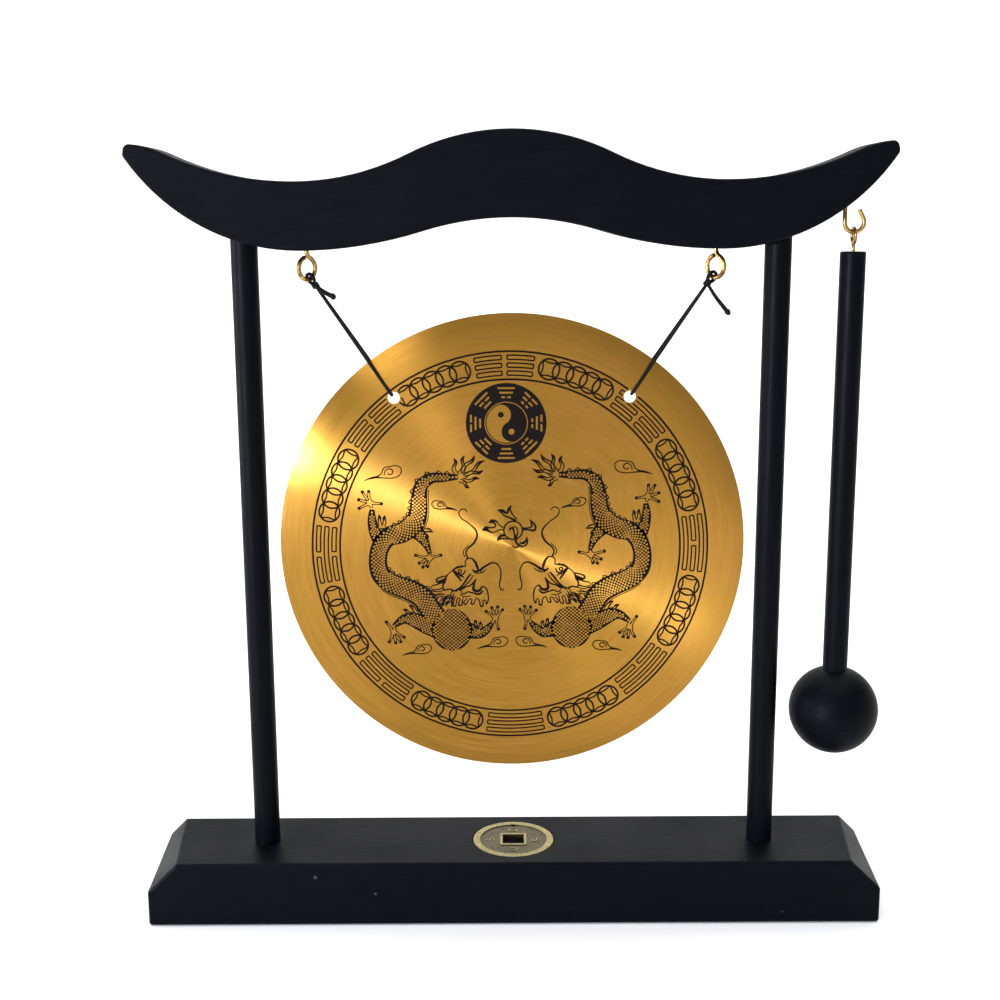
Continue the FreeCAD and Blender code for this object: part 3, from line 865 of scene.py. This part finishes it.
SPINE = [(-17.4, 20.5, 1.6), (-21.9, 20.3, 2.7), (-26, 20.1, 3.4), (-29, 17.8, 4.2),
         (-29.9, 14, 5.0), (-30.1, 9.8, 5.6), (-31.5, 5.6, 6.4), (-35.6, 2.3, 6.5),
         (-40.1, 0.9, 6.2), (-42.8, -2.8, 5.8), (-43.6, -7.5, 5.8), (-42.6, -11.7, 6.2),
         (-39.2, -14.7, 6.5), (-34.2, -16.6, 7.0), (-29.7, -19.2, 7.2), (-26.9, -23.4, 7.0),
         (-24.6, -26.8, 7.4)]
LIMBS = [
    [(-42.6, -1.0, 4.4), (-44.4, 2.6, 3.6), (-45.2, 6.6, 2.7), (-45.1, 10.0, 1.4)],
    [(-32.6, 3.6, 5.4), (-30.0, 1.6, 4.2), (-27.9, -1.6, 2.4), (-26.7, -4.7, 1.1)],
    [(-22.5, -31.2, 6.0), (-28.0, -28.8, 5.9), (-32.4, -26.9, 4.7), (-35.2, -26.6, 3.2),
     (-37.3, -27.8, 2.2), (-38.9, -29.1, 1.3)],
    [(-16.4, -30.2, 6.0), (-13.2, -31.0, 4.9), (-10.6, -31.7, 3.2), (-8.2, -30.0, 2.4),
     (-6.5, -27.9, 1.2)],
]
CHEST = (-19.9, -30.4, 6.6, 7.2)   # x, y, half width, half height
PAWS = [                           # palm, claw tips, which limb
    ((-45.8, 12.2), [(-48.1, 15.7), (-46.1, 15.9), (-49.3, 13.2), (-49.2, 10.4), (-42.1, 11.9)]),
    ((-26.9, -6.2), [(-31.3, -5.3), (-23.2, -5.2), (-30.2, -7.9), (-29.0, -9.2), (-27.5, -9.0)]),
    ((-38.9, -31.0), [(-41.3, -27.7), (-40.4, -34.4), (-38.3, -34.7), (-36.7, -34.3), (-35.6, -32.8)]),
    ((-5.6, -26.3), [(-8.6, -24.2), (-6.8, -23.0), (-4.9, -22.7), (-3.3, -23.7), (-4.6, -30.2)]),
]


def paw(palm, tips, limb):
    """Lines from claw to claw round the palm, and a dark pad at each claw."""
    palm = Vector(palm)
    wrist = Vector(limb[-1][:2])
    start = math.atan2(*(wrist - palm).yx)

    def turn_of(point):
        return (math.atan2(*(Vector(point) - palm).yx) - start) % math.tau
    toes = [(turn_of(tip), (Vector(tip) - palm).length) for tip in sorted(tips, key=turn_of)]
    reach = (wrist - palm).length
    ring = [(0.0, reach)] + toes + [(math.tau, reach)]

    def at(turn, far, aside=0.0):
        out = Vector((math.cos(start + turn), math.sin(start + turn)))
        return tuple(palm + out * far + Vector((-out.y, out.x)) * aside)
    strokes = []
    for (a, far_a), (b, far_b) in zip(ring, ring[1:]):
        points = [at(a, far_a - 0.4, 0.30), at(a, 1.5, 0.38), at((a + b) / 2, 1.0),
                  at(b, 1.5, -0.38), at(b, far_b - 0.4, -0.30)]
        strokes.append(line(points, [0.34, 0.3, 0.34, 0.3, 0.34]))
    for turn, far in toes:
        strokes.append(line([at(turn, far - 0.45), at(turn, far), at(turn + 0.06, far + 0.5)],
                            [0.7, 1.3, 0.5]))
    return strokes


def back_spikes(rows, side, start, end, size):
    """Small hooked spikes along one side of the body."""
    strokes = []
    last = -9.0
    travelled = 0.0
    for (p, l, h, w), (q, m, k, v) in zip(rows, rows[1:]):
        travelled += (q - p).length
        if not start < travelled < end or travelled - last < 2.6:
            continue
        last = travelled
        root = p + l * side * (w - 0.1)
        tip = root + l * side * size - h * size * 0.5
        strokes.append(([tuple(root - h * size * 1.6), tuple(tip)], [0.4, 0.3], False))
        strokes.append(([tuple(tip), tuple(root + h * size * 0.3)], [0.3, 0.6], False))
    return strokes


def edges_of(rows):
    """A firm line along both edges of a body part."""
    return [([tuple(p + l * side * (w - 0.1)) for p, l, _, w in rows[:-2:3] + rows[-1:]], 0.4, False)
            for side in (-1, 1)]


def belly_line(rows, side, start, end):
    """A thin line that runs just outside the scales."""
    points = []
    travelled = 0.0
    for (p, l, h, w), (q, m, k, v) in zip(rows, rows[1:]):
        travelled += (q - p).length
        if start < travelled < end:
            points.append(tuple(p + l * side * (w + 0.45)))
    return [(points[::4], 0.28, False)]


FLAMES = [((-17.6, 21.2), (-18.6, 26.6), 1.2, 0.7), ((-16.8, 21.7), (-15.2, 27.4), 1.2, -0.7),
          ((-16.0, 21.6), (-11.9, 27.5), 1.2, 0.6), ((-15.6, 21.1), (-8.7, 25.8), 1.2, -0.7),
          ((-15.4, 20.4), (-9.2, 22.7), 1.1, 0.6), ((-15.8, 19.6), (-10.4, 19.9), 1.0, -0.5),
          ((-16.8, 19.4), (-13.7, 16.9), 1.1, 0.4)]
FINS = [((-30.6, 4.2), (-25.6, 2.4), 1.6, -0.3), ((-30.4, 2.8), (-26.9, 0.6), 1.3, -0.2),
        ((-42.4, 4.6), (-43.0, 8.3), 1.0, 0.2), ((-41.6, 4.4), (-41.0, 8.0), 1.0, -0.2),
        ((-29.6, -25.2), (-33.9, -22.0), 1.4, 0.3), ((-32.4, -25.0), (-35.8, -23.4), 1.1, 0.3),
        ((-11.6, -29.4), (-12.4, -27.0), 1.0, 0.2), ((-10.6, -29.8), (-10.4, -27.6), 0.9, -0.2)]
HEAD = [
    # Snout, nostril and the bridge up to the brow.
    ([(-15.2, -9.0), (-15.1, -7.0), (-13.6, -6.3), (-12.4, -7.1), (-11.6, -8.7), (-11.1, -10.4)],
     [0.4, 0.4, 0.45, 0.7, 0.9, 0.6]),
    ([(-13.1, -10.1), (-12.1, -10.8), (-11.1, -10.5), (-10.4, -10.0)], [0.4, 0.8, 0.8, 0.4]),
    ([(-15.2, -9.0), (-16.6, -9.1), (-18.0, -9.4), (-19.4, -10.3)], [0.4, 0.6, 0.7, 0.6]),
    ([(-19.4, -10.3), (-18.2, -11.9), (-16.6, -13.9)], [0.6, 0.7, 0.6]),
    ([(-18.8, -10.4), (-17.4, -11.7), (-16.0, -11.6), (-15.3, -10.2)], [0.4, 0.7, 0.5, 0.4]),
    (ring_points(0.55, 8, (-17.1, -10.6)) + [(-17.1, -10.05)], [0.45] * 9),
    ([(-17.6, -12.4), (-16.4, -12.3), (-15.6, -13.0)], [0.35, 0.5, 0.3]),
    ([(-18.2, -9.7), (-17.8, -8.8)], [0.6, 0.3]),
    ([(-17.0, -9.4), (-16.4, -8.5)], [0.6, 0.3]),
    # Forehead, two-tined horn and cheek.
    ([(-19.4, -10.3), (-20.5, -11.2), (-21.4, -12.2)], [0.35, 0.35, 0.5]),
    ([(-21.4, -12.2), (-22.7, -12.4), (-24.7, -13.9), (-23.2, -13.9), (-22.0, -13.2)],
     [0.45, 0.5, 0.6, 0.9, 0.8]),
    ([(-22.3, -14.2), (-24.4, -15.0), (-26.5, -16.1), (-25.0, -16.8), (-22.5, -16.2)],
     [0.6, 0.5, 0.3, 0.4, 0.5]),
    ([(-21.4, -12.2), (-22.0, -13.9), (-22.6, -15.6), (-22.2, -16.8), (-20.5, -16.6), (-19.0, -17.3)],
     [0.5, 0.9, 0.5, 0.5, 0.5, 0.7]),
    # Upper jaw, open mouth with its tongue, and lower lip.
    ([(-13.4, -11.5), (-14.5, -12.8), (-15.8, -14.7), (-17.0, -16.1), (-18.8, -17.4)],
     [0.5, 0.7, 0.6, 0.6, 0.8]),
    ([(-12.6, -11.9), (-14.1, -14.1), (-16.0, -15.9), (-17.4, -17.2)], [0.3, 0.45, 0.45, 0.6]),
    ([(-16.8, -17.0), (-15.4, -16.0), (-13.6, -15.3), (-11.8, -13.3)], [0.4, 0.5, 0.5, 0.4]),
    ([(-11.8, -13.3), (-12.6, -15.4), (-12.5, -17.0), (-10.6, -17.0), (-10.0, -15.7)],
     [0.4, 0.8, 1.0, 0.9, 0.5]),
    ([(-16.8, -17.4), (-16.0, -18.2), (-14.5, -17.6), (-13.0, -17.9), (-10.8, -18.3), (-9.6, -17.2)],
     [0.4, 0.4, 0.5, 0.5, 0.7, 0.5]),
    # Beard: the chin and a row of pointed tufts.
    ([(-10.0, -15.7), (-8.7, -16.3), (-8.0, -18.2), (-7.9, -20.3), (-8.5, -21.9)],
     [0.5, 0.4, 0.5, 0.45, 0.5]),
    ([(-8.5, -21.9), (-9.2, -20.3), (-10.0, -22.5), (-10.9, -20.3), (-11.8, -19.6)],
     [0.4, 0.35, 0.6, 0.4, 0.35]),
    ([(-11.8, -19.6), (-13.3, -21.7), (-13.4, -19.9), (-15.7, -21.7), (-14.9, -19.7)],
     [0.35, 0.5, 0.35, 0.5, 0.35]),
    ([(-16.0, -19.4), (-17.3, -22.2), (-17.5, -19.6), (-19.1, -22.4), (-18.9, -19.4)],
     [0.35, 0.5, 0.35, 0.5, 0.35]),
    ([(-17.0, -18.3), (-15.6, -19.2), (-13.6, -18.9)], [0.5, 0.35, 0.3]),
]
MANE = [((-19.2, -17.6), (-22.7, -20.6), 1.0, 0.5), ((-20.4, -18.8), (-23.9, -22.6), 1.0, -0.5),
        ((-19.6, -18.6), (-21.8, -22.4), 0.9, 0.4), ((-22.0, -17.6), (-28.2, -17.7), 1.3, 0.4),
        ((-22.6, -18.4), (-27.0, -20.8), 1.2, -0.4), ((-18.8, -18.8), (-20.0, -22.6), 0.8, -0.3),
        ((-22.4, -19.6), (-25.5, -22.4), 1.0, 0.4)]
WHISKERS = [
    ([(-14.4, -6.4), (-15.0, -4.3), (-12.0, -0.6), (-11.4, 2.0), (-13.9, 5.2), (-16.7, 7.4),
      (-17.0, 9.3), (-15.2, 9.9), (-14.6, 9.0)], [0.6, 0.5, 0.7, 0.6, 0.4, 0.4, 0.35, 0.4, 0.3]),
    ([(-15.3, -6.0), (-15.9, -4.4), (-14.1, -1.8)], [0.3, 0.35, 0.25]),
    ([(-10.8, -10.6), (-8.6, -8.9), (-5.8, -7.9), (-4.0, -9.8), (-3.8, -12.8), (-4.2, -15.2),
      (-3.4, -17.0), (-2.6, -16.6)], [0.9, 0.7, 0.5, 0.4, 0.5, 0.4, 0.45, 0.3]),
    ([(-12.0, -11.4), (-10.0, -11.1), (-8.2, -9.8)], [0.3, 0.45, 0.25]),
]


def cloud(x, y, size, flip=1):
    """A puff with an inner curl, drawn out at one side into a thin dark tail."""
    shapes = [
        ([(-4.8, -1.6), (-3.0, -0.5), (-2.0, 1.4), (0.0, 1.9), (2.2, 2.1), (3.5, 1.1), (3.0, -0.8),
          (0.8, -1.8), (-1.9, -1.8), (-4.8, -1.6)], [0.6] + [0.36] * 8 + [0.6]),
        ([(-2.0, -1.0), (-1.4, 0.7), (0.1, 1.1), (0.8, 0.1), (-0.3, -0.7), (-0.9, -0.2)],
         [0.3, 0.36, 0.4, 0.4, 0.36, 0.3]),
        ([(-4.4, -1.5), (-6.4, -1.9), (-8.3, -2.6)], [0.8, 0.6, 0.25])]
    return [line([(x + flip * size * u, y + size * v) for u, v in outline], widths)
            for outline, widths in shapes]


CLOUDS = (cloud(-39.0, 22.1, 1.0) + cloud(-23.4, 11.3, 0.68, -1) + cloud(-29.6, -37.0, 0.8)
          + cloud(-4.6, -34.7, 0.85))


def dragon(side_name, turn_over):
    bm, scale_bm = bmesh.new(), bmesh.new()
    rng = random.Random(side_name)
    body = sides_of(lift(smooth(SPINE)))
    limbs = [sides_of(lift(smooth(limb, 6))) for limb in LIMBS]
    cx, cy, rx, ry = CHEST
    chest = [(cx, cy - ry + 2 * ry * i / 24, 2 * rx * math.sqrt(max(0.0001, 1 - (i / 12 - 1) ** 2)))
             for i in range(25)]
    chest = sides_of(lift(chest))
    for rows in [body, chest] + limbs:
        solid_body(bm, rows)
    scales(scale_bm, body, 1.3, rng)
    scales(scale_bm, chest, 1.3, rng, body[:-12])
    for rows in limbs:
        scales(scale_bm, rows, 1.15, rng, body[:-12] + chest)
    strokes = list(CLOUDS) + [edge for rows in [body] + limbs for edge in edges_of(rows)]
    for (palm, tips), limb in zip(PAWS, LIMBS):
        strokes += paw(palm, tips, limb)
    for root, tip, width, bow in FLAMES + FINS + MANE:
        strokes += tongue(root, tip, width, bow)
    strokes += [line(points, widths) for points, widths in HEAD + WHISKERS]
    strokes += back_spikes(body, -1, 4, 38, 0.9) + back_spikes(body, 1, 50, 80, 0.9)
    strokes += belly_line(body, 1, 13, 31) + belly_line(body, -1, 52, 82)
    if turn_over:
        strokes = [([mirrored(*point) for point in points], widths, closed)
                   for points, widths, closed in strokes]
        for part in (bm, scale_bm):
            for vert in part.verts:
                vert.co.xy = mirrored(*vert.co.xy)
    drawing("dragon_lines_" + side_name, strokes)
    for name, part, finish, off_face, thickness in (
            ("dragon_body_", bm, ink, 0.0, INK),
            ("dragon_scales_", scale_bm, disc_brass, INK, SCALE_THICKNESS)):
        mesh = bpy.data.meshes.new(name + side_name)
        part.to_mesh(mesh)
        part.free()
        onto_face(mesh, off_face, thickness)
        piece = new_piece(name + side_name, mesh, finish)
        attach(piece, "gong")


dragon("left", False)
dragon("right", True)

# Pearl -------------------------------------------------------------------------------------
# A round pearl with a curl in it and forked flames about it, printed between the dragons.

PEARL = (0.3, 2.9)
PEARL_LINES = [
    ([(0.9, 3.1), (-1.0, 4.1), (-2.9, 4.9), (-3.9, 6.0), (-5.0, 6.7)], [0.9, 0.6, 0.5, 0.5, 0.3]),
    ([(-5.0, 6.7), (-3.5, 6.5), (-2.0, 5.8), (-1.4, 7.0), (-0.6, 8.3)], [0.3, 1.0, 0.7, 0.9, 0.3]),
    ([(-0.6, 8.3), (-0.9, 6.9), (-0.2, 5.3), (1.2, 3.7)], [0.3, 0.5, 0.45, 0.4]),
    ([(-3.2, 0.9), (-4.6, 1.9), (-5.5, 3.0), (-6.8, 3.2), (-7.9, 2.6)], [0.5, 0.4, 0.6, 1.0, 0.3]),
    ([(-7.9, 2.6), (-6.2, 2.5), (-5.7, 1.4), (-7.4, 0.9), (-8.8, 0.9), (-10.0, 0.1)],
     [0.3, 0.6, 0.5, 0.5, 1.0, 0.3]),
    ([(-10.0, 0.1), (-8.4, 0.1), (-7.1, -0.6), (-5.8, -0.5), (-4.0, 0.3), (-3.1, 0.1)],
     [0.3, 0.9, 0.5, 0.4, 0.4, 0.5]),
    ([(-2.6, -1.6), (-3.9, -1.8), (-4.7, -2.6), (-5.2, -3.5)], [0.9, 0.8, 0.9, 0.3]),
    ([(-5.2, -3.5), (-4.3, -2.9), (-3.0, -2.7), (-1.6, -2.9)], [0.3, 0.5, 0.5, 0.5]),
    ([(3.2, 0.6), (4.8, 0.8), (6.0, 1.3), (5.9, 2.2), (5.4, 3.6)], [0.7, 0.4, 0.6, 0.7, 0.3]),
    ([(3.2, 0.2), (5.0, 0.2), (6.8, 0.0), (7.2, 1.2), (5.4, 3.6)], [0.6, 0.6, 0.8, 0.7, 0.3]),
    ([(0.9, -2.8), (1.0, -4.0), (2.2, -5.1), (3.4, -5.3), (4.5, -4.2), (4.4, -2.2)],
     [0.8, 0.7, 0.7, 0.5, 0.6, 0.3]),
    ([(2.0, -4.2), (3.3, -4.2), (4.1, -3.4), (4.4, -2.2)], [0.5, 0.9, 0.6, 0.3]),
    ([(2.0, -5.1), (0.8, -5.7), (-0.4, -5.1)], [0.6, 0.5, 0.3]),
    ([(-1.2, -0.1), (-0.9, 0.7), (-0.1, 0.5), (0.3, -0.8), (0.7, -2.7)], [0.6, 0.6, 0.7, 0.5, 0.8]),
    ([(-0.5, 1.0), (0.7, 1.1), (1.4, -0.1), (0.9, -2.7)], [0.3, 0.4, 0.4, 0.7]),
]
pearl = [line(ring_points(3.0, 16, PEARL) + [polar(3.0, 0, PEARL)], [0.5] * 17)]
pearl += [line([(PEARL[0] + x, PEARL[1] + y) for x, y in points], widths)
          for points, widths in PEARL_LINES]
drawing("pearl", pearl)
